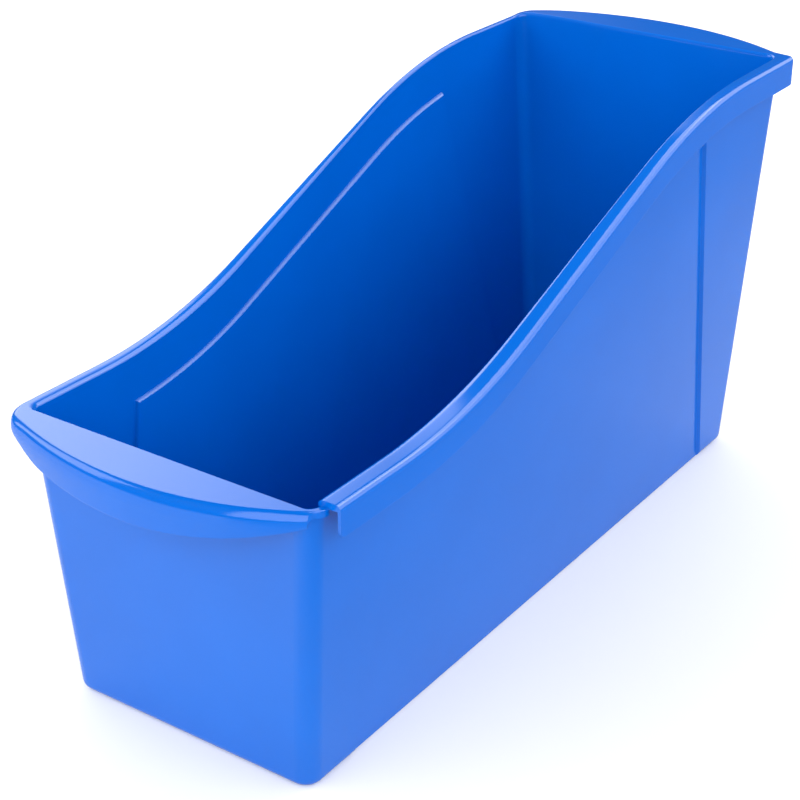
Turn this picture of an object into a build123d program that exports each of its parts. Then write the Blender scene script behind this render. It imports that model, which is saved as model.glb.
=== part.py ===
from build123d import *
import os

# An interlocking book bin: a long, narrow, open-topped moulded tub with a low front, a high rear and
# an S-shaped top edge between them. The right edge carries a downward channel that hooks over the
# left rim of the next bin. Both ends have a D-shaped pull lip with a curved skirt under it.
# Frame: origin in the middle of the base, on the surface that the bin stands on. +X is the side with
# the channel, -Y is the low front, +Y is the high rear and +Z is up. Millimetres.

os.makedirs("parts", exist_ok=True)

# Tub. The sides lean outwards by their slope, and draw in towards the rear by their taper.
half_length = 159.0
half_width = 54.0
wall = 2.0
floor_thickness = 2.0
side_slope = 0.0685
side_taper = 0.004
inner_side_slope = 0.0672
inner_side_taper = 0.006
front_slope = 0.0498
corner_radius = 7.0
inner_corner_radius = 5.0
base_radius = 3.8
inner_base_radius = 1.8
base_height = 5.0
block_height = 200.0
reach = 260.0

# S-shaped top edge of the left side. The right side is the same line, raised by channel_rise.
low_rim = 115.85
high_rim = 181.75
front_bend_y = -84.3
rear_bend_y = 79.5
bend_radius = 212.0
channel_rise = 2.1
rim_thickness = 2.5
rim_outer_x = 65.5
rim_inner_x = 58.0
rim_rounding = 0.8

# Interlocking channel
channel_outer_x = 69.4
channel_wall = 1.2
channel_depth = 12.4
channel_front_y = -158.4
channel_rear_y = 162.4
channel_corner_radius = 3.0

# The front and rear walls take in the corners, so they end on flat stretches of the sides.
seam_y = 151.0

# Pull lips. The front lip is level with the left rim, and the rear lip with the channel.
front_tip_y = -184.0
front_left_end = (-rim_outer_x, -169.9)
front_right_end = (60.4, -166.9)
front_left_radius = 13.0
rear_tip_y = 178.9
rear_end = (60.4, 162.8)
# The rear lip comes down to the left rim over the rear left corner, in a ramp across both directions.
ramp_step = 0.3
ramp_length_y = 12.0
ramp_length_x = 40.0
lip_wall = 2.2
lip_rounding = 1.9
skirt_slope = 0.512
skirt_tip_drop = 14.4

# Side panels, set inwards by panel_step with sloping front and rear edges.
panel_step = 1.5
panel_edge = 1.0
panel_front_y = -132.8
panel_rear_y = 135.0
panel_front_lean = 0.205
panel_rear_lean = 0.26
left_panel_drop = 17.9
right_panel_drop = 12.4


def planed_block(planes, bottom):
    """Adds a block that starts at bottom and is cut back to what lies behind every plane."""
    with Locations((0, 0, bottom)):
        Box(reach, 2 * reach, block_height - bottom, align=(Align.CENTER, Align.CENTER, Align.MIN))
    for plane in planes:
        split(bisect_by=plane, keep=Keep.BOTTOM)


def tub_planes(inset, slope, taper):
    """The planes of the four walls' faces, inset from the outside of the tub."""
    sides = [
        Plane(origin=(side * (half_width - inset), 0, 0), z_dir=(side, taper, -slope))
        for side in (1, -1)
    ]
    front = Plane(origin=(0, -half_length + inset, 0), z_dir=(0, -1, -front_slope))
    rear = Plane(origin=(0, half_length - inset, 0), z_dir=(0, 1, 0))
    return sides + [front, rear]


def round_tub(upright_radius, lower_radius):
    """Rounds the four upright corners of the block, then its lower edge."""
    fillet([edge for edge in edges() if abs((edge @ 1 - edge @ 0).Z) > low_rim], upright_radius)
    fillet(faces().sort_by(Axis.Z)[0].edges(), lower_radius)


def rim_line(rise, front_y, rear_y):
    """The S-shaped line of the right side's top edge, or of the left side's, raised by rise."""
    return FilletPolyline(
        (front_y, low_rim + rise),
        (front_bend_y, low_rim + rise),
        (rear_bend_y, high_rim + rise),
        (rear_y, high_rim + rise),
        radius=bend_radius,
    )


def rim_band(x, rise, depth, front_y, rear_y):
    """The strip between the raised rim line and the same line lowered by depth, as a sketch at x."""
    with BuildSketch(Plane.YZ.offset(x), mode=Mode.PRIVATE) as band:
        with BuildLine():
            upper = rim_line(rise, front_y, rear_y)
            lower = rim_line(rise - depth, front_y, rear_y)
            Line(upper @ 0, lower @ 0)
            Line(upper @ 1, lower @ 1)
        make_face()
    return band.sketch


def below_rim(rise):
    """Everything below the raised rim line, as a prism right across the bin."""
    with BuildPart(mode=Mode.PRIVATE) as prism:
        extrude(rim_band(-reach / 2, rise, 2 * block_height, -reach, reach), amount=reach)
    return prism.part


def upper_edges(x_from, x_to):
    """The lengthwise edges of the upward faces whose x lies between the two values."""
    upward = [face for face in faces() if face.normal_at().Z > 0.3]
    lengthwise = [
        edge
        for face in upward
        for edge in face.edges()
        if abs((edge @ 1 - edge @ 0).Y) > 5 * abs((edge @ 1 - edge @ 0).X)
    ]
    return [edge for edge in lengthwise if x_from < (edge @ 0.5).X < x_to]


def panel_planes(side, inset, slope, edge_run):
    """The front and rear edges of a panel, sloping by edge_run over its step."""
    run = edge_run / panel_step
    foot_x = side * (half_width - inset)
    return [
        Plane(
            origin=(foot_x, panel_front_y, 0),
            z_dir=(-side * run, -1, panel_front_lean + run * slope),
        ),
        Plane(
            origin=(foot_x, panel_rear_y, 0),
            z_dir=(-side * run, 1, panel_rear_lean + run * slope),
        ),
    ]


def moved(plane, distance):
    """The plane moved along its own normal."""
    return Plane(origin=plane.origin + plane.z_dir * distance, z_dir=plane.z_dir)


def turned(plane):
    """The same plane, facing the other way."""
    return Plane(origin=plane.origin, z_dir=plane.z_dir * -1)


outer_planes = tub_planes(0, side_slope, side_taper)
inner_planes = tub_planes(wall, inner_side_slope, inner_side_taper)

with BuildPart() as envelope:
    planed_block(outer_planes, 0)
    round_tub(corner_radius, base_radius)

with BuildPart() as cavity:
    planed_block(inner_planes, floor_thickness)
    round_tub(inner_corner_radius, inner_base_radius)

# The tub's walls and floor, with both panels, before they are parted into regions.
with BuildPart() as tub:
    add(envelope.part)
    add(cavity.part, mode=Mode.SUBTRACT)

for side, outside, inside, drop in (
    (1, outer_planes[0], inner_planes[0], right_panel_drop),
    (-1, outer_planes[1], inner_planes[1], left_panel_drop),
):
    with BuildPart() as recess:
        planed_block(
            [turned(moved(outside, -panel_step))] + panel_planes(side, 0, side_slope, panel_edge),
            -1,
        )
        add(below_rim(-drop - wall), mode=Mode.INTERSECT)
    with BuildPart() as raised_face:
        planed_block(
            [moved(inside, wall / 4), turned(moved(inside, -panel_step))]
            + panel_planes(side, wall, inner_side_slope, panel_edge),
            floor_thickness / 2,
        )
        add(below_rim(-drop), mode=Mode.INTERSECT)
    with tub:
        add(raised_face.part)
        add(recess.part, mode=Mode.SUBTRACT)

floor_seam = Plane.XY.offset(base_height)
front_seam = Plane(origin=(0, -seam_y, 0), z_dir=(0, -1, 0))
rear_seam = Plane(origin=(0, seam_y, 0), z_dir=(0, 1, 0))

# The whole channel: an upper web and a hanging flange, open underneath and at both ends.
with BuildPart() as channel:
    extrude(
        rim_band(rim_inner_x, channel_rise, channel_depth, channel_front_y, channel_rear_y),
        amount=channel_outer_x - rim_inner_x,
    )
    crosswise = edges().filter_by(Axis.X).group_by(Axis.Y)
    lower_corners = [crosswise[0].sort_by(Axis.Z)[0], crosswise[-1].sort_by(Axis.Z)[0]]
    fillet(lower_corners, channel_corner_radius)
    rear_upright = edges().filter_by(Axis.Z).group_by(Axis.Y)[-1].sort_by(Axis.X)[-1]
    fillet(rear_upright, channel_wall)
    fillet(upper_edges(channel_outer_x - 0.1, channel_outer_x + 0.1), channel_wall)
    room = rim_band(0, channel_rise - rim_thickness, channel_depth, -reach, reach)
    extrude(room, amount=channel_outer_x - channel_wall, mode=Mode.SUBTRACT)
    add(cavity.part, mode=Mode.SUBTRACT)

# The outlines of the two lips, seen from above.
with BuildSketch() as front_outline:
    with BuildLine():
        left_arc = TangentArc((0, front_tip_y), front_left_end, tangent=(-1, 0))
        right_arc = TangentArc((0, front_tip_y), front_right_end, tangent=(1, 0))
        Polyline(
            left_arc @ 1, (-rim_outer_x, -seam_y), (front_right_end[0], -seam_y), right_arc @ 1
        )
    make_face()
    fillet(vertices().sort_by(Axis.X)[:2].sort_by(Axis.Y)[0], front_left_radius)

with BuildSketch() as rear_outline:
    with BuildLine():
        rear_arc = TangentArc((0, rear_tip_y), rear_end, tangent=(1, 0))
        mirror(about=Plane.YZ)
        Polyline(
            rear_arc @ 1, (rear_end[0], seam_y), (-rear_end[0], seam_y), (-rear_end[0], rear_end[1])
        )
    make_face()


def lip_plate(outline, top_z, thickness, end):
    """Adds a lip's flat plate, with its outer upper edge rounded. end is -1 at the front, 1 at the rear."""
    extrude(Pos(0, 0, top_z - thickness) * outline, amount=thickness)
    rim_edges = faces().sort_by(Axis.Z)[-1].edges()
    fillet([edge for edge in rim_edges if end * (edge @ 0.5).Y > seam_y + wall], lip_rounding)


def lip_skirt(outline, top_z, under_z, tip_y):
    """Adds the curved flange under a lip, which fades out towards both ends."""
    end = 1 if tip_y > 0 else -1
    with BuildSketch(mode=Mode.PRIVATE) as ring:
        add(outline)
        offset(outline, amount=-lip_wall, mode=Mode.SUBTRACT)
    extrude(Pos(0, 0, under_z) * ring.sketch, amount=-2 * skirt_tip_drop)
    slant = Plane(origin=(0, tip_y, top_z - skirt_tip_drop), z_dir=(0, end * skirt_slope, 1))
    split(bisect_by=slant, keep=Keep.TOP)
    add(envelope.part, mode=Mode.SUBTRACT)


def collar(lower_z, upper_z, seam):
    """The top of an end wall and its corners, solid across, between two heights."""
    with BuildPart(mode=Mode.PRIVATE) as slab:
        add(envelope.part)
        split(bisect_by=Plane.XY.offset(lower_z), keep=Keep.TOP)
        split(bisect_by=Plane.XY.offset(upper_z), keep=Keep.BOTTOM)
        split(bisect_by=seam, keep=Keep.TOP)
    return slab.part


front_under_z = low_rim - rim_thickness
rear_under_z = high_rim - rim_thickness
front_collar = collar(front_under_z, low_rim, front_seam)
rear_collar = collar(rear_under_z, high_rim + channel_rise, rear_seam)
corner_ramp = Plane(
    origin=(-rim_outer_x, seam_y, high_rim + ramp_step),
    z_dir=(-channel_rise / ramp_length_x, -channel_rise / ramp_length_y, 1),
)

with BuildPart() as front_lip_top:
    lip_plate(front_outline.sketch, low_rim, rim_thickness, -1)
    add(front_collar)
    add(cavity.part, mode=Mode.SUBTRACT)
    add(channel.part, mode=Mode.SUBTRACT)

with BuildPart() as front_lip_skirt:
    lip_skirt(front_outline.sketch, low_rim, front_under_z, front_tip_y)

with BuildPart() as rear_lip_top:
    add(rear_collar)
    lip_plate(rear_outline.sketch, high_rim + channel_rise, channel_rise, 1)
    split(bisect_by=corner_ramp, keep=Keep.BOTTOM)
    add(cavity.part, mode=Mode.SUBTRACT)
    add(channel.part, mode=Mode.SUBTRACT)

with BuildPart() as rear_lip_skirt:
    lip_skirt(rear_outline.sketch, high_rim + channel_rise, high_rim, rear_tip_y)
    add(channel.part, mode=Mode.SUBTRACT)

# The channel's two webs.
channel_under = below_rim(channel_rise - rim_thickness)

with BuildPart() as channel_top:
    add(channel.part)
    add(channel_under, mode=Mode.SUBTRACT)

with BuildPart() as channel_flange:
    add(channel.part)
    add(channel_under, mode=Mode.INTERSECT)

with BuildPart() as left_rim:
    extrude(
        rim_band(-rim_outer_x, 0, rim_thickness, -seam_y, seam_y),
        amount=rim_outer_x - rim_inner_x,
    )
    add(cavity.part, mode=Mode.SUBTRACT)
    fillet(upper_edges(-reach, reach), rim_rounding)

# The base, and the four walls around it.
with BuildPart() as floor:
    add(tub.part)
    split(bisect_by=floor_seam, keep=Keep.BOTTOM)

with BuildPart() as front_wall:
    add(tub.part)
    split(bisect_by=floor_seam, keep=Keep.TOP)
    split(bisect_by=front_seam, keep=Keep.TOP)
    split(bisect_by=Plane.XY.offset(front_under_z), keep=Keep.BOTTOM)
    add(channel.part, mode=Mode.SUBTRACT)

with BuildPart() as rear_wall:
    add(tub.part)
    split(bisect_by=floor_seam, keep=Keep.TOP)
    split(bisect_by=rear_seam, keep=Keep.TOP)
    split(bisect_by=Plane.XY.offset(rear_under_z), keep=Keep.BOTTOM)
    add(channel.part, mode=Mode.SUBTRACT)


def side_region(side, rise):
    """The part of the tub between the end walls on one side, up to the underside of its rim."""
    with BuildPart(mode=Mode.PRIVATE) as region:
        add(tub.part)
        split(bisect_by=floor_seam, keep=Keep.TOP)
        split(bisect_by=front_seam, keep=Keep.BOTTOM)
        split(bisect_by=rear_seam, keep=Keep.BOTTOM)
        split(bisect_by=Plane(origin=(0, 0, 0), z_dir=(side, 0, 0)), keep=Keep.TOP)
        add(below_rim(rise - rim_thickness), mode=Mode.INTERSECT)
    return region.part


def panel_region(side, drop):
    """The room that one panel and its sloping edges take up."""
    with BuildPart(mode=Mode.PRIVATE) as room:
        planed_block(panel_planes(side, 0, 0, 0), 0)
        add(below_rim(-drop), mode=Mode.INTERSECT)
    return room.part


left_region = side_region(-1, 0)
left_panel_room = panel_region(-1, left_panel_drop)
right_region = side_region(1, channel_rise)
right_panel_room = panel_region(1, right_panel_drop)

with BuildPart() as left_side_wall:
    add(left_region)
    add(left_panel_room, mode=Mode.SUBTRACT)

with BuildPart() as left_side_panel:
    add(left_region)
    add(left_panel_room, mode=Mode.INTERSECT)

with BuildPart() as right_side_wall:
    add(right_region)
    add(right_panel_room, mode=Mode.SUBTRACT)

with BuildPart() as right_side_panel:
    add(right_region)
    add(right_panel_room, mode=Mode.INTERSECT)

pieces = {
    "floor": floor,
    "front_wall": front_wall,
    "rear_wall": rear_wall,
    "left_side_wall": left_side_wall,
    "left_side_panel": left_side_panel,
    "right_side_wall": right_side_wall,
    "right_side_panel": right_side_panel,
    "left_rim": left_rim,
    "channel_top": channel_top,
    "channel_flange": channel_flange,
    "front_lip_top": front_lip_top,
    "front_lip_skirt": front_lip_skirt,
    "rear_lip_top": rear_lip_top,
    "rear_lip_skirt": rear_lip_skirt,
}
for piece_name, piece in pieces.items():
    piece.part.label = piece_name
    export_step(piece.part, f"parts/{piece_name}.step")
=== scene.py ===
import math

import bmesh
import bpy
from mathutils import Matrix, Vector


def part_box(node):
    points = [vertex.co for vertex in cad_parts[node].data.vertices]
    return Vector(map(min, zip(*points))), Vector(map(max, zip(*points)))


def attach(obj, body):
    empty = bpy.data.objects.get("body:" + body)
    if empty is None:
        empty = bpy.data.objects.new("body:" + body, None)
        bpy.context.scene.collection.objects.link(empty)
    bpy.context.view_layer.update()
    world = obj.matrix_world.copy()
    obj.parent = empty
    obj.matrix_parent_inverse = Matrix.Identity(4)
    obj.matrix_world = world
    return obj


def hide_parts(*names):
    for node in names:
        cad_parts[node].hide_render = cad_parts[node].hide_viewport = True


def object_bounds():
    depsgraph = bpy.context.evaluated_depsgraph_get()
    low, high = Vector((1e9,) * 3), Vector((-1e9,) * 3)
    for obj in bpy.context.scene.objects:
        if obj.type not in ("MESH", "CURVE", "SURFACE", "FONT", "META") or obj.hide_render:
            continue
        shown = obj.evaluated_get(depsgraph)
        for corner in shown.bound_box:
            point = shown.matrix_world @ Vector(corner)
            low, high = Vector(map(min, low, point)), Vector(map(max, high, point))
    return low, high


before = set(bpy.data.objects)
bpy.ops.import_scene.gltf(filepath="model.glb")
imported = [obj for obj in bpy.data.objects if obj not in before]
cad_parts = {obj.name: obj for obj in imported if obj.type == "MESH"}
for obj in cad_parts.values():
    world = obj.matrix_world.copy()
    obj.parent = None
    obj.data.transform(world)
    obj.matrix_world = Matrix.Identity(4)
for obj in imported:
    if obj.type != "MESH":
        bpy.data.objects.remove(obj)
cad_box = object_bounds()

# The bin is one blue moulding. Its walls, floor and side panels stay as the CAD nodes. The rims, the
# channel and both lips are swept here with all their roundings, and replace the CAD nodes.
# Lengths are in millimetres until a mesh is made. +X is the channel side, and -Y is the low front.

MM = 0.001


def low(node, axis):
    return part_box(node)[0][axis] / MM


def high(node, axis):
    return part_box(node)[1][axis] / MM


X, Y, Z = 0, 1, 2
LOW_RIM = high("front_lip_top", Z)
HIGH_RIM = high("left_rim", Z)
CHANNEL_RISE = high("channel_top", Z) - HIGH_RIM
RIM_DEPTH = LOW_RIM - high("front_wall", Z)
LEFT_X = low("left_rim", X)
FLANGE_X = high("channel_flange", X)
CHANNEL_FRONT = low("channel_flange", Y)
CHANNEL_REAR = high("channel_flange", Y)
CHANNEL_DEPTH = LOW_RIM + CHANNEL_RISE - low("channel_flange", Z)
SEAM_Y = high("left_rim", Y)
FRONT_TIP = low("front_lip_top", Y)
REAR_TIP = high("rear_lip_top", Y)

# The S-shaped top edge: flat, bend, slope, bend, flat
FRONT_BEND = -84.3
REAR_BEND = 79.5
BEND_RADIUS = 212.0
# Inner faces of the walls: distance from the middle, lean and taper
INNER_X = 52.0
INNER_LEAN = 0.0672
INNER_TAPER = 0.006
INNER_FRONT = -157.0
INNER_FRONT_LEAN = 0.0498
INNER_REAR = 157.0
INNER_CORNER = 5.0

# Outer faces of the side walls
OUTER_X = 54.0
OUTER_LEAN = 0.0685
OUTER_TAPER = 0.004
BASE_TOP = 5.0
# Side panel on the left
PANEL_STEP = 1.5
PANEL_BEVEL = 1.0
PANEL_DROP = 17.9
PANEL_FRONT = -132.8
PANEL_REAR = 135.0
PANEL_FRONT_LEAN = 0.205
PANEL_REAR_LEAN = 0.26
LEDGE_SLANT = 0.45
PANEL_STATIONS = 60
PANEL_BACK_DROP = 2.0

# Flat tops of the rims and lips, whose edges are rounded down to the faces beside them
LEFT_FLAT_X = -63.5
RIGHT_FLAT_X = 63.1
FLAT_CORNER = 4.5
REAR_FLAT_CORNER = 5.5
FRONT_FLAT_Y = -163.15
REAR_FLAT_Y = 158.0
INNER_ROUNDING = 1.5
SIDE_ROUNDING = 0.9
LEFT_ROUNDING = 0.7
FLANGE_ROUNDING = 2.3
FRONT_ROUNDING = 3.1
FRONT_ROUNDING_DROP = 6.5
REAR_ROUNDING = 1.9
END_ROUNDING = 0.6
FRONT_LEFT_RADIUS = 158.0
FRONT_RIGHT_RADIUS = 112.3
FRONT_LIP_CORNER = 12.0
LIP_END_X = 60.4
REAR_LIP_DEPTH = 16.1
REAR_LEFT_TURN = 5.0
HOOK_RADIUS = 0.3
# The wall's narrow edge beyond the front lip's right end is this much wider than the flat's corner.
WALL_EDGE = 1.1

# Thicknesses and roundings of the channel's flange and of the skirts under the lips
FLANGE_WALL = 1.2
LIP_WALL = 2.0
FLANGE_CORNER = 3.0
FLANGE_REAR_CORNER = 2.6
SKIRT_WALL = 2.2
SKIRT_SLOPE = 0.512
SKIRT_DROP = 14.4
SKIRT_LEFT_LIFT = 3.2
LEAST_SKIRT = 0.4

ARC_STEPS = 8
STATION_GAP = 4.0
SHARP_ANGLE = math.radians(38)
WELD = 0.00001


def rim_height(y):
    """Height of the left rim's flat top."""
    slope = math.atan2(HIGH_RIM - LOW_RIM, REAR_BEND - FRONT_BEND)
    reach = BEND_RADIUS * math.tan(slope / 2)
    run = reach * math.cos(slope)
    if y < FRONT_BEND - reach:
        return LOW_RIM
    if y < FRONT_BEND + run:
        rise = y - (FRONT_BEND - reach)
        return LOW_RIM + BEND_RADIUS - math.sqrt(BEND_RADIUS ** 2 - rise ** 2)
    if y < REAR_BEND - run:
        return LOW_RIM + (y - FRONT_BEND) * math.tan(slope)
    if y < REAR_BEND + reach:
        rise = REAR_BEND + reach - y
        return HIGH_RIM - BEND_RADIUS + math.sqrt(BEND_RADIUS ** 2 - rise ** 2)
    return HIGH_RIM


def smooth(value):
    value = min(1.0, max(0.0, value))
    return value * value * (3 - 2 * value)


def mix(a, b, share):
    return a + (b - a) * share


def inner_x(y, z):
    return INNER_X + INNER_LEAN * z - INNER_TAPER * y


def flat_x(side, wall_x):
    """Where the flat top starts beside a wall: on a straight line, but always past the wall's rounding."""
    straight = LEFT_FLAT_X if side < 0 else RIGHT_FLAT_X
    return side * max(abs(straight), wall_x + SIDE_ROUNDING)


def arc(center, radius, start, end, steps=24):
    """Points of an arc, with the angles in degrees from +X."""
    angles = [math.radians(mix(start, end, i / steps)) for i in range(steps + 1)]
    return [
        Vector((center[0] + radius * math.cos(a), center[1] + radius * math.sin(a))) for a in angles
    ]


def spaced(points, count):
    """The same line, as count + 1 evenly spaced points."""
    points = [Vector(p) for p in points]
    lengths = [0.0]
    for a, b in zip(points, points[1:]):
        lengths.append(lengths[-1] + (b - a).length)
    out, k = [], 0
    for i in range(count + 1):
        want = lengths[-1] * i / count
        while k < len(points) - 2 and lengths[k + 1] < want:
            k += 1
        span = lengths[k + 1] - lengths[k]
        out.append(points[k].lerp(points[k + 1], (want - lengths[k]) / span if span else 0.0))
    return out


def rounding(start, corner, end, steps=ARC_STEPS):
    """A quarter ellipse from start to end that bulges towards corner. Points are (x, y, z)."""
    start, corner, end = Vector(start), Vector(corner), Vector(end)
    out = []
    for i in range(steps + 1):
        angle = math.pi / 2 * i / steps
        out.append(
            corner + (start - corner) * (1 - math.sin(angle)) + (end - corner) * (1 - math.cos(angle))
        )
    return out


def sweep(name, sections, node, material):
    """Joins closed sections into one solid that stands for a CAD node."""
    shape = bmesh.new()
    rows = [[shape.verts.new(Vector(p) * MM) for p in section] for section in sections]
    size = len(rows[0])
    for row, following in zip(rows, rows[1:]):
        for i in range(size):
            j = (i + 1) % size
            shape.faces.new((row[i], row[j], following[j], following[i]))
    shape.faces.new(rows[0][::-1])
    shape.faces.new(rows[-1])
    bmesh.ops.remove_doubles(shape, verts=shape.verts, dist=WELD)
    bmesh.ops.recalc_face_normals(shape, faces=shape.faces)
    for face in shape.faces:
        face.smooth = True
    for edge in shape.edges:
        edge.smooth = len(edge.link_faces) == 2 and edge.calc_face_angle() < SHARP_ANGLE
    mesh = bpy.data.meshes.new(name)
    shape.to_mesh(mesh)
    shape.free()
    piece = bpy.data.objects.new(name, mesh)
    bpy.context.scene.collection.objects.link(piece)
    piece.data.materials.append(material)
    normals = piece.modifiers.new("normals", "WEIGHTED_NORMAL")
    normals.keep_sharp = True
    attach(piece, "root")
    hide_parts(node)
    return piece


def at(point, z):
    return Vector((point[0], point[1], z))


def rim_section(wall, flat_in, flat_out, outer, top, drop_in, drop_out, under_out, foot, backed=False):
    """A rim's closed section, from the wall's inner face over the flat top and down outside.

    drop_in and drop_out are the heights of the two roundings, under_out is how far the outer face
    comes down, and foot is how far down the inner face meets the wall below. A backed rim's underside
    is flat as far as the wall, and comes down behind it."""
    section = []
    if backed:
        back = Vector(wall) + (Vector(outer) - Vector(wall)).normalized() * LIP_WALL
        section += [at(back, top - under_out), at(back, top - foot)]
    section += [at(wall, top - foot)]
    section += rounding(at(wall, top - drop_in), at(wall, top), at(flat_in, top))
    section += rounding(at(flat_out, top), at(outer, top), at(outer, top - drop_out))
    section += [at(outer, top - under_out)]
    return section


def side_ys(start, end):
    """Evenly spaced stations along a side."""
    count = round((end - start) / STATION_GAP)
    return [mix(start, end, i / count) for i in range(count + 1)]


def flange_ys():
    """Stations along the flange, close together at its round ends."""
    corner = [FLANGE_CORNER * share for share in (0, 0.04, 0.15, 0.35, 0.65)]
    middle = side_ys(CHANNEL_FRONT + FLANGE_CORNER, CHANNEL_REAR - FLANGE_CORNER)
    front = [CHANNEL_FRONT + gap for gap in corner]
    return front + middle + [CHANNEL_REAR - gap for gap in reversed(corner)]


def cut_back(gap, radius):
    """How far a round corner is cut back, at a distance from the end of the piece."""
    return radius - math.sqrt(radius ** 2 - (radius - min(gap, radius)) ** 2)


def edge_normals(points):
    """Outward directions across a line that runs anticlockwise round the bin, seen from above."""
    out = []
    for i in range(len(points)):
        a, b = points[max(0, i - 1)], points[min(len(points) - 1, i + 1)]
        run = (b - a).normalized()
        out.append(Vector((run.y, -run.x)))
    return out


def plastic():
    """Glossy moulded plastic, with faint flow shading, a fine texture and slight changes in gloss."""
    material = bpy.data.materials.new("blue_plastic")
    material.use_nodes = True
    tree = material.node_tree
    shader = tree.nodes["Principled BSDF"]
    shader.inputs["Roughness"].default_value = 0.1
    shader.inputs["IOR"].default_value = 1.5
    place = tree.nodes.new("ShaderNodeTexCoord")

    def noise(scale, detail):
        node = tree.nodes.new("ShaderNodeTexNoise")
        node.inputs["Scale"].default_value = scale
        node.inputs["Detail"].default_value = detail
        tree.links.new(place.outputs["Object"], node.inputs["Vector"])
        return node.outputs["Fac"]

    colors = tree.nodes.new("ShaderNodeValToRGB")
    colors.color_ramp.elements[0].position = 0.3
    colors.color_ramp.elements[0].color = (0.0, 0.107, 0.515, 1)
    colors.color_ramp.elements[1].position = 0.7
    colors.color_ramp.elements[1].color = (0.0, 0.116, 0.55, 1)
    tree.links.new(noise(22, 3), colors.inputs["Fac"])
    tree.links.new(colors.outputs["Color"], shader.inputs["Base Color"])

    gloss = tree.nodes.new("ShaderNodeMapRange")
    gloss.inputs["To Min"].default_value = 0.07
    gloss.inputs["To Max"].default_value = 0.14
    tree.links.new(noise(60, 4), gloss.inputs["Value"])
    tree.links.new(gloss.outputs["Result"], shader.inputs["Roughness"])

    texture = tree.nodes.new("ShaderNodeBump")
    texture.inputs["Strength"].default_value = 0.05
    texture.inputs["Distance"].default_value = 0.0003
    tree.links.new(noise(900, 2), texture.inputs["Height"])
    tree.links.new(texture.outputs["Normal"], shader.inputs["Normal"])
    return material


def left_rim(material):
    sections = []
    for y in side_ys(-SEAM_Y, SEAM_Y):
        top = rim_height(y)
        wall_x = inner_x(y, top - RIM_DEPTH)
        wall = (-wall_x, y)
        outer = (LEFT_X, y)
        sections.append(rim_section(
            wall, (flat_x(-1, wall_x), y), (LEFT_X + LEFT_ROUNDING, y), outer,
            top, INNER_ROUNDING, LEFT_ROUNDING, RIM_DEPTH, RIM_DEPTH,
        ))
    sweep("left_rim_visual", sections, "left_rim", material)


def channel(material):
    tops, flanges = [], []
    for y in side_ys(CHANNEL_FRONT, SEAM_Y):
        top = rim_height(y) + CHANNEL_RISE
        wall = (inner_x(y, top - RIM_DEPTH), y)
        outer = (FLANGE_X, y)
        tops.append(rim_section(
            wall, (flat_x(1, wall[0]), y), (FLANGE_X - FLANGE_ROUNDING, y), outer,
            top, INNER_ROUNDING, FLANGE_ROUNDING, RIM_DEPTH, RIM_DEPTH,
        ))
    sweep("channel_top_visual", tops, "channel_top", material)
    for y in flange_ys():
        top = rim_height(y) + CHANNEL_RISE
        # The lower corners at both ends are round, and so is the rear end seen from above.
        lift = cut_back(min(y - CHANNEL_FRONT, CHANNEL_REAR - y), FLANGE_CORNER)
        bottom = top - CHANNEL_DEPTH + lift
        inside = FLANGE_X - FLANGE_WALL
        outside = FLANGE_X - min(cut_back(CHANNEL_REAR - y, FLANGE_REAR_CORNER), FLANGE_WALL - 0.1)
        edge = (outside - inside) / 4
        flanges.append([
            (outside, y, top - RIM_DEPTH),
            (outside, y, bottom + 0.5),
            (outside - 0.3 * edge, y, bottom + 0.15),
            (outside - edge, y, bottom),
            (inside + edge, y, bottom),
            (inside + 0.3 * edge, y, bottom + 0.15),
            (inside, y, bottom + 0.5),
            (inside, y, top - RIM_DEPTH),
        ])
    sweep("channel_flange_visual", flanges, "channel_flange", material)


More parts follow.
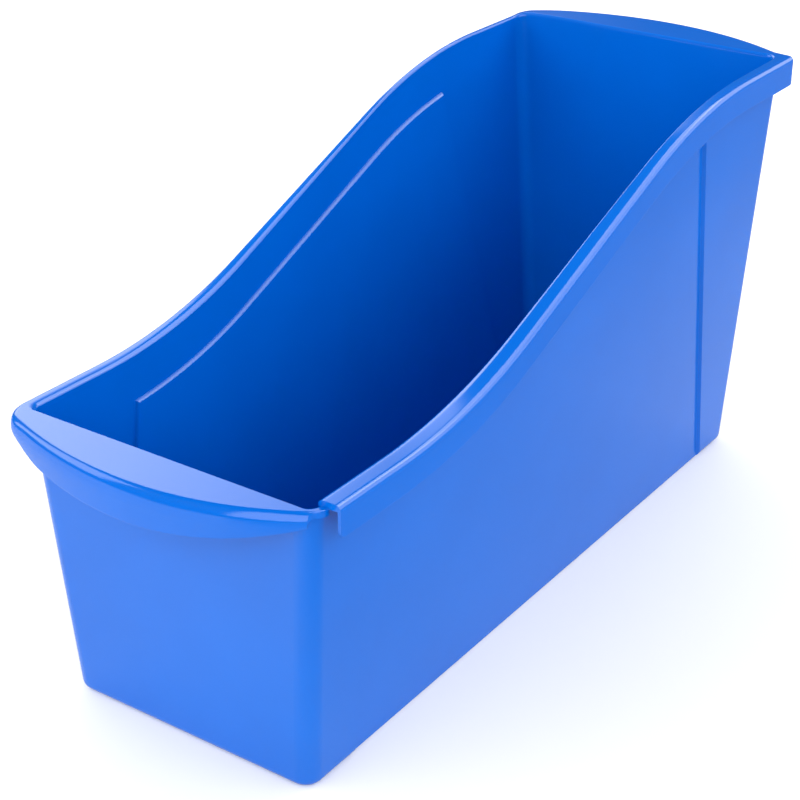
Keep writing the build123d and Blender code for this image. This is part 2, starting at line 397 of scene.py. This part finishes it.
def front_lines():
    """The front lip's wall, flat top and edge in plan, from the left seam to the channel's front."""
    foot_z = LOW_RIM - RIM_DEPTH
    wall_x = inner_x(INNER_FRONT, foot_z)
    wall_y = INNER_FRONT - INNER_FRONT_LEAN * foot_z
    flat_tip = FRONT_TIP + FRONT_ROUNDING
    left_center = (0, flat_tip + FRONT_LEFT_RADIUS)
    right_center = (0, flat_tip + FRONT_RIGHT_RADIUS)
    # Where the corner's arc touches the left side and the long front arc
    edge_x = LEFT_X + LEFT_ROUNDING
    corner_x = edge_x + FRONT_LIP_CORNER
    swing = FRONT_LEFT_RADIUS - FRONT_LIP_CORNER
    corner_y = left_center[1] - math.sqrt(swing ** 2 - corner_x ** 2)
    meet = 180 + math.degrees(math.atan2(left_center[1] - corner_y, -corner_x))
    right_swing = math.degrees(math.asin(LIP_END_X / FRONT_RIGHT_RADIUS))
    flat_y = FRONT_FLAT_Y + FLAT_CORNER
    left_flat_x = LEFT_FLAT_X + FLAT_CORNER
    right_flat_x = RIGHT_FLAT_X - FLAT_CORNER
    wall_corner = (wall_x - INNER_CORNER, wall_y + INNER_CORNER)
    parts = [
        (
            8,
            [(-inner_x(-SEAM_Y, foot_z), -SEAM_Y), (-wall_x, wall_corner[1])],
            [(LEFT_FLAT_X, -SEAM_Y), (LEFT_FLAT_X, flat_y)],
            [(edge_x, -SEAM_Y), (edge_x, corner_y)],
        ),
        (
            20,
            arc((-wall_corner[0], wall_corner[1]), INNER_CORNER, 180, 270),
            arc((left_flat_x, flat_y), FLAT_CORNER, 180, 270),
            arc((corner_x, corner_y), FRONT_LIP_CORNER, 180, meet)
            + arc(left_center, FRONT_LEFT_RADIUS, meet, meet + 1.5)[1:],
        ),
        (
            24,
            [(-wall_corner[0], wall_y), (0, wall_y)],
            [(left_flat_x, FRONT_FLAT_Y), (0, FRONT_FLAT_Y)],
            arc(left_center, FRONT_LEFT_RADIUS, meet + 1.5, 270, 60),
        ),
        (
            28,
            [(0, wall_y), (wall_corner[0], wall_y)],
            [(0, FRONT_FLAT_Y), (right_flat_x, FRONT_FLAT_Y)],
            arc(right_center, FRONT_RIGHT_RADIUS, 270, 270 + right_swing, 60),
        ),
    ]
    return parts, wall_corner, (right_flat_x, flat_y)


def skirt_section(outer, normal, top, bottom):
    """A lip's hanging skirt, with a round lower edge."""
    # Each pair is the distance inwards from the outer face, and the height over the lower edge.
    lower_edge = ((0, 0.7), (0.2, 0.2), (0.7, 0), (1.5, 0), (2.0, 0.2), (SKIRT_WALL, 0.7))
    section = [at(outer, top)]
    section += [at(outer - normal * inward, bottom + up) for inward, up in lower_edge]
    section += [at(outer - normal * SKIRT_WALL, top)]
    return section


def front_lip(material):
    parts, wall_corner, flat_corner = front_lines()
    wall, inner, edge = [], [], []
    for count, *lines in parts:
        for line, points in zip((wall, inner, edge), lines):
            line.extend(spaced(points, count)[1 if line else 0:])
    lip_end = len(edge)
    # The wall's own narrow edge goes on round the right corner, as far as the channel.
    center = Vector(flat_corner)
    start = math.degrees(math.atan2(edge[-1].y - center.y, edge[-1].x - center.x))
    stop = -math.degrees(math.asin((center.y - CHANNEL_FRONT) / FLAT_CORNER))
    reach = (edge[-1] - center).length
    outward = arc(center, reach, start, stop, 10)
    wall += arc(wall_corner, INNER_CORNER, 270, 360 + stop, 10)[1:]
    inner += arc(center, FLAT_CORNER, 270, 360 + stop, 10)[1:]
    edge += [
        center + (p - center) * mix(1, (FLAT_CORNER + WALL_EDGE) / reach, smooth(i / 8))
        for i, p in enumerate(outward)
    ][1:]
    normals = edge_normals(edge)
    top_sections, skirt_sections = [], []
    for i, (w, flat, out, normal) in enumerate(zip(wall, inner, edge, normals)):
        # The rounding grows from the left rim's, and is gone where the lip ends on the right.
        grown = smooth((i - 8) / 14)
        gone = smooth((i - lip_end + 1) / 3)
        radius = mix(mix(LEFT_ROUNDING, FRONT_ROUNDING, grown), END_ROUNDING, gone)
        outer = out + normal * radius
        bottom = LOW_RIM - SKIRT_DROP - SKIRT_SLOPE * (FRONT_TIP - outer.y)
        bottom += SKIRT_LEFT_LIFT * smooth((-42 - outer.x) / 24)
        # The rounding is taller than it is wide, and takes up most of the skirt at the lip's ends.
        drop = min(FRONT_ROUNDING_DROP, 0.75 * (LOW_RIM - bottom))
        drop = mix(mix(LEFT_ROUNDING, drop, grown), END_ROUNDING, gone)
        under = max(RIM_DEPTH, drop)
        top_sections.append(rim_section(
            w, flat, out, outer, LOW_RIM, INNER_ROUNDING, drop, under, RIM_DEPTH,
        ))
        if bottom < LOW_RIM - under - LEAST_SKIRT and i < lip_end:
            skirt_sections.append(skirt_section(outer, normal, LOW_RIM - under, bottom))
    sweep("front_lip_top_visual", top_sections, "front_lip_top", material)
    sweep("front_lip_skirt_visual", skirt_sections, "front_lip_skirt", material)


def rear_lines():
    """The rear lip's wall, flat top and edge in plan, from the channel round to the left rim."""
    wall_x = inner_x(SEAM_Y, HIGH_RIM - RIM_DEPTH)
    wall_corner = (wall_x - INNER_CORNER, INNER_REAR - INNER_CORNER)
    right_x = flat_x(1, wall_x)
    left_x = flat_x(-1, wall_x)
    flat_y = REAR_FLAT_Y - REAR_FLAT_CORNER
    flat_corner = (right_x - REAR_FLAT_CORNER, flat_y)
    left_corner = (left_x + REAR_FLAT_CORNER, flat_y)
    # The lip's edge is one arc, whose ends meet the channel's end and the left rim.
    radius = (LIP_END_X ** 2 + REAR_LIP_DEPTH ** 2) / (2 * REAR_LIP_DEPTH)
    center = (0, REAR_TIP - radius)
    swing = math.degrees(math.asin(LIP_END_X / radius))
    edge_radius = radius - REAR_ROUNDING
    hook_inset = FLANGE_ROUNDING + HOOK_RADIUS
    hook = (FLANGE_X - hook_inset, CHANNEL_REAR - hook_inset)
    left_edge = LEFT_X + LEFT_ROUNDING
    lip_end = arc(center, edge_radius, 90 + swing, 90 + swing, 1)[0]
    left_center = (left_edge + REAR_LEFT_TURN, lip_end.y - REAR_LEFT_TURN)
    return [
        (
            3,
            [(wall_x, SEAM_Y), (wall_x, wall_corner[1])],
            [(right_x, SEAM_Y), (right_x, flat_y)],
            [(hook[0] + HOOK_RADIUS, SEAM_Y), (hook[0] + HOOK_RADIUS, hook[1])],
        ),
        (
            8,
            arc(wall_corner, INNER_CORNER, 0, 60),
            arc(flat_corner, REAR_FLAT_CORNER, 0, 60),
            arc(hook, HOOK_RADIUS, 0, 90),
        ),
        (
            8,
            arc(wall_corner, INNER_CORNER, 60, 90),
            arc(flat_corner, REAR_FLAT_CORNER, 60, 90),
            [(hook[0], hook[1] + HOOK_RADIUS)] + arc(center, edge_radius, 90 - swing, 90 - swing + 1),
        ),
        (
            48,
            [(wall_corner[0], INNER_REAR), (-wall_corner[0], INNER_REAR)],
            [(flat_corner[0], REAR_FLAT_Y), (left_corner[0], REAR_FLAT_Y)],
            arc(center, edge_radius, 91 - swing, 90 + swing, 90),
        ),
        (
            14,
            arc((-wall_corner[0], wall_corner[1]), INNER_CORNER, 90, 180),
            arc(left_corner, REAR_FLAT_CORNER, 90, 180),
            [lip_end] + arc(left_center, REAR_LEFT_TURN, 90, 180),
        ),
        (
            3,
            [(-wall_x, wall_corner[1]), (-wall_x, SEAM_Y)],
            [(left_x, flat_y), (left_x, SEAM_Y)],
            [(left_edge, left_center[1]), (left_edge, SEAM_Y)],
        ),
    ]


def rear_lip(material):
    wall, inner, edge = [], [], []
    for count, *lines in rear_lines():
        for line, points in zip((wall, inner, edge), lines):
            line.extend(spaced(points, count)[1 if line else 0:])
    top_sections, skirt_sections = [], []
    last = len(edge) - 1
    for i, (w, flat, out, normal) in enumerate(zip(wall, inner, edge, edge_normals(edge))):
        ramp = smooth((last - i) / 24)
        top = mix(HIGH_RIM, HIGH_RIM + CHANNEL_RISE, ramp)
        radius = mix(FLANGE_ROUNDING, REAR_ROUNDING, smooth((i - 12) / 10))
        radius = mix(LEFT_ROUNDING, radius, smooth((last - 2 - i) / 16))
        outer = out + normal * radius
        under = min(RIM_DEPTH, top - HIGH_RIM + RIM_DEPTH)
        top_sections.append(rim_section(
            w, flat, out, outer, top, INNER_ROUNDING, radius, under,
            top - HIGH_RIM + RIM_DEPTH, backed=True,
        ))
        bottom = HIGH_RIM + CHANNEL_RISE - SKIRT_DROP + SKIRT_SLOPE * (REAR_TIP - outer.y)
        if 20 <= i <= last - 16 and bottom < top - under - LEAST_SKIRT:
            skirt_sections.append(skirt_section(outer, normal, top - under, bottom))
    sweep("rear_lip_top_visual", top_sections, "rear_lip_top", material)
    sweep("rear_lip_skirt_visual", skirt_sections, "rear_lip_skirt", material)


def floor_sheet():
    """A plain, nearly white floor, which is part of the stage, with painted shade in its reflections."""
    mesh = bpy.data.meshes.new("floor_sheet")
    half = 4.0
    mesh.from_pydata(
        [(-half, -half, 0), (half, -half, 0), (half, half, 0), (-half, half, 0)], [], [(0, 1, 2, 3)]
    )
    sheet = bpy.data.objects.new("floor_sheet", mesh)
    bpy.context.scene.collection.objects.link(sheet)
    material = bpy.data.materials.new("pale_floor")
    material.use_nodes = True
    tree = material.node_tree
    shader = tree.nodes["Principled BSDF"]
    shader.inputs["Roughness"].default_value = 0.9
    shader.inputs["Specular IOR Level"].default_value = 0.1
    rays = tree.nodes.new("ShaderNodeLightPath")
    # Painted shade: in polished faces the floor's colour is darker, and darkest beside the bin on its +X
    # side.
    place = tree.nodes.new("ShaderNodeTexCoord")
    split = tree.nodes.new("ShaderNodeSeparateXYZ")
    tree.links.new(place.outputs["Object"], split.inputs[0])
    painted_reflection_shade = tree.nodes.new("ShaderNodeMapRange")
    tree.links.new(split.outputs["X"], painted_reflection_shade.inputs["Value"])
    painted_reflection_shade.inputs["From Min"].default_value = 0.0
    painted_reflection_shade.inputs["From Max"].default_value = 0.2
    painted_reflection_shade.inputs["To Min"].default_value = 0.78
    painted_reflection_shade.inputs["To Max"].default_value = 0.22
    # Glossy rays see the painted shade, and all other rays see the plain 0.9 floor.
    floor_with_painted_reflection_shade = tree.nodes.new("ShaderNodeMix")
    tree.links.new(rays.outputs["Is Glossy Ray"], floor_with_painted_reflection_shade.inputs["Factor"])
    floor_with_painted_reflection_shade.inputs["A"].default_value = 0.9
    tree.links.new(painted_reflection_shade.outputs["Result"], floor_with_painted_reflection_shade.inputs["B"])
    tree.links.new(floor_with_painted_reflection_shade.outputs["Result"], shader.inputs["Base Color"])
    sheet.data.materials.append(material)


def left_panel(material):
    """The side panel, a step further in than the wall, whose top ledge slopes down into the bin."""
    def along(z, share, shift):
        return mix(PANEL_FRONT + PANEL_FRONT_LEAN * z, PANEL_REAR - PANEL_REAR_LEAN * z, share) + shift

    stations = [(0, 0, 0), (0, PANEL_BEVEL, PANEL_STEP)]
    stations += [(i / PANEL_STATIONS, 0, PANEL_STEP) for i in range(1, PANEL_STATIONS)]
    stations += [(1, -PANEL_BEVEL, PANEL_STEP), (1, 0, 0)]
    sections = []
    for share, shift, inset in stations:
        # The panel's ends lean, so its top's height and place along the bin settle together.
        top = LOW_RIM
        for _ in range(30):
            top = rim_height(along(top, share, shift)) - PANEL_DROP
        slant = LEDGE_SLANT * inset
        heights = [BASE_TOP, mix(BASE_TOP, top, 0.5), top - slant - 0.4]
        rows = [(z, inset, True) for z in heights]
        rows += [(top - slant - 0.12, inset - 0.1, True), (top - slant * 0.8, inset * 0.75, True)]
        rows += [(top, 0, True), (top, 0, False)]
        rows += [(top - PANEL_BACK_DROP, 0, False), (top - PANEL_BACK_DROP - 0.05, inset, False)]
        rows += [(mix(BASE_TOP, top, 0.5), inset, False), (BASE_TOP, inset, False)]
        section = []
        for z, step_in, inside in rows:
            y = along(z, share, shift)
            face = inner_x(y, z) if inside else OUTER_X + OUTER_LEAN * z - OUTER_TAPER * y
            section.append((-face + step_in, y, z))
        sections.append(section)
    sweep("left_side_panel_visual", sections, "left_side_panel", material)


def camera():
    """The camera stands off the front right corner, and looks at a point inside the tub."""
    data = bpy.data.cameras.new("camera")
    data.lens = 83.6
    data.sensor_width = 36
    data.clip_start = 0.05
    obj = bpy.data.objects.new("camera", data)
    bpy.context.scene.collection.objects.link(obj)
    azimuth, elevation = math.radians(35.05), math.radians(26.84)
    lowest, highest = cad_box
    target = Vector(mix(a, b, f) for a, b, f in zip(lowest, highest, (0.487, 0.431, 0.438)))
    distance = 1.989 * (highest.y - lowest.y)
    away = Vector((
        math.sin(azimuth) * math.cos(elevation),
        -math.cos(azimuth) * math.cos(elevation),
        math.sin(elevation),
    ))
    obj.location = target + away * distance
    obj.rotation_euler = (-away).to_track_quat("-Z", "Y").to_euler()
    bpy.context.scene.camera = obj


def math_node(tree, operation, *values):
    node = tree.nodes.new("ShaderNodeMath")
    node.operation = operation
    for socket, value in zip(node.inputs, values):
        if isinstance(value, (int, float)):
            socket.default_value = value
        else:
            tree.links.new(value, socket)
    return node.outputs[0]


def step(tree, value, edge, width):
    node = tree.nodes.new("ShaderNodeMapRange")
    node.interpolation_type = "SMOOTHSTEP"
    tree.links.new(value, node.inputs["Value"])
    node.inputs["From Min"].default_value = edge - width
    node.inputs["From Max"].default_value = edge + width
    return node.outputs["Result"]


# Strengths of the soft boxes, and of the room between them, as shiny faces see them
LEFT_BOXES = 3.6
RIGHT_BOXES = 3.0
OVERHEAD_BOX = 4.2
DARK_ROOM = 0.06


def studio():
    """A white studio. Shiny faces see five soft boxes round and over the bin, and dull ones a soft sky."""
    world = bpy.data.worlds.new("world")
    world.use_nodes = True
    tree = world.node_tree
    background = tree.nodes["Background"]
    place = tree.nodes.new("ShaderNodeTexCoord")
    split = tree.nodes.new("ShaderNodeSeparateXYZ")
    tree.links.new(place.outputs["Generated"], split.inputs[0])
    x, y, z = split.outputs

    def calc(operation, *values):
        return math_node(tree, operation, *values)

    def window(value, start, end, soft):
        """1 between start and end, and 0 outside them, with soft edges."""
        return calc("SUBTRACT", step(tree, value, start, soft), step(tree, value, end, soft))

    # Angle round the bin in radians: 0 is straight behind it, and it grows to the left.
    turn = calc("ARCTAN2", calc("MULTIPLY", x, -1), y)
    back_edges = calc("SUBTRACT", step(tree, turn, 0.68, 0.22), step(tree, turn, 1.24, 0.05))
    back_box = calc("MULTIPLY", back_edges, window(z, 0.25, 0.70, 0.02))
    left_box = calc("MULTIPLY", window(turn, 1.72, 2.35, 0.05), window(z, 0.18, 0.68, 0.03))
    front_edges = calc("MULTIPLY", step(tree, calc("MULTIPLY", y, -1), 0.35, 0.04),
                       step(tree, x, 0.02, 0.03))
    front_box = calc("MULTIPLY", front_edges, window(z, 0.12, 0.88, 0.03))
    side_box = calc("MULTIPLY", window(turn, -1.3, -0.12, 0.06), window(z, 0.1, 0.75, 0.05))
    boxes = calc("ADD", calc("MULTIPLY", calc("ADD", back_box, left_box), LEFT_BOXES),
                 calc("MULTIPLY", calc("ADD", side_box, front_box), RIGHT_BOXES))
    toward = calc("ADD", calc("MULTIPLY", x, 0.149),
                  calc("ADD", calc("MULTIPLY", y, 0.418), calc("MULTIPLY", z, 0.896)))
    overhead = calc("MULTIPLY", step(tree, toward, 0.905, 0.006), OVERHEAD_BOX)
    glossy = calc("ADD", calc("ADD", DARK_ROOM, overhead), boxes)
    # What dull faces see: brightest half way up, and a little brighter in front
    front = calc("ADD", calc("MULTIPLY", x, -0.1), calc("MULTIPLY", y, -0.12))
    ring = calc("SUBTRACT", calc("MULTIPLY", window(z, 0.3, 0.72, 0.1), 1.75),
                calc("MULTIPLY", step(tree, z, 0.8, 0.05), 1.05))
    soft = calc("ADD", calc("ADD", 1.27, front), ring)
    rays = tree.nodes.new("ShaderNodeLightPath")
    seen = tree.nodes.new("ShaderNodeMix")
    tree.links.new(rays.outputs["Is Glossy Ray"], seen.inputs["Factor"])
    tree.links.new(soft, seen.inputs["A"])
    tree.links.new(glossy, seen.inputs["B"])
    lens = tree.nodes.new("ShaderNodeMix")
    tree.links.new(rays.outputs["Is Camera Ray"], lens.inputs["Factor"])
    tree.links.new(seen.outputs["Result"], lens.inputs["A"])
    lens.inputs["B"].default_value = 1.0
    tree.links.new(lens.outputs["Result"], background.inputs["Strength"])
    background.inputs["Color"].default_value = (1, 1, 1, 1)
    bpy.context.scene.world = world
    bpy.context.scene.view_settings.view_transform = "Standard"


blue = plastic()
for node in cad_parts.values():
    for slot in node.material_slots:
        slot.material = blue
left_rim(blue)
channel(blue)
front_lip(blue)
rear_lip(blue)
left_panel(blue)
floor_sheet()
camera()
studio()
